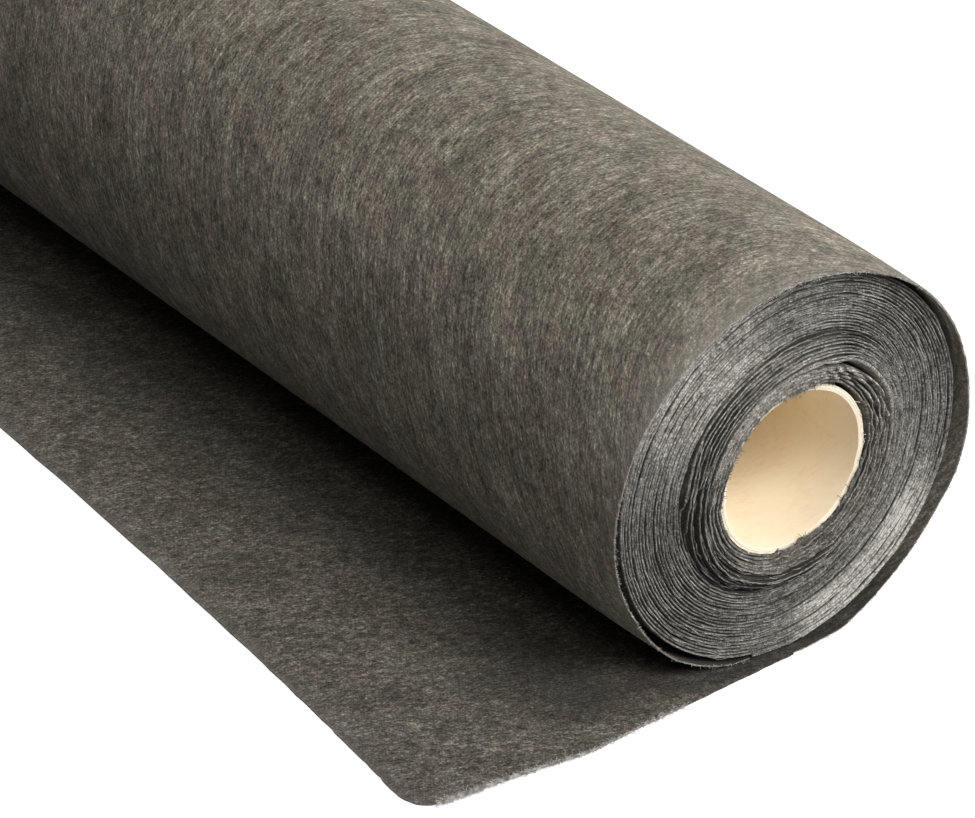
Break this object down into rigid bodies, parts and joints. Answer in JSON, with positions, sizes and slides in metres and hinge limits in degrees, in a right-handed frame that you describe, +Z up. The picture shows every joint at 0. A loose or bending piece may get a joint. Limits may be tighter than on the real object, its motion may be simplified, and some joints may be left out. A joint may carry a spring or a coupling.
{
  "type": "geotextile roll",
  "caption": "Roll of dark non-woven ground sheet wound on a cardboard tube, with a loose outer turn and its free end laid flat on the ground.",
  "frame": {"origin": "middle of the footprint, on the ground that the roll and its free end lie on", "axes": "+X along the tube, towards the end that the picture shows; the free end runs out towards -Y; +Z up"},
  "size_m": [1.0134, 0.2058, 0.1301],
  "materials": {
    "cardboard": "matte",
    "tape": "satin",
    "web": "matte"
  },
  "bodies": {
    "ground_sheet": {"laid_end": "web"},
    "outer_wrap": {"loose_turn": "web"},
    "roll": {"core_tube": "cardboard", "start_tape": "tape", "wound_web": "web"}
  },
  "joints": [
    {"name": "roll_travel", "type": "slide", "parent": "ground_sheet", "child": "outer_wrap", "axis": [0, 1, 0], "range_m": [-0.09, 0], "deforming": ["laid_end"]},
    {"name": "roll_turn", "type": "hinge", "parent": "outer_wrap", "child": "roll", "pos_m": [-0.00525, 0.03735, 0.065], "axis": [1, 0, 0], "range_deg": [0, 80]}
  ],
  "couplings": [
    {"joint": "roll_turn", "follows": "roll_travel", "rad_per_m": -15.385}
  ]
}
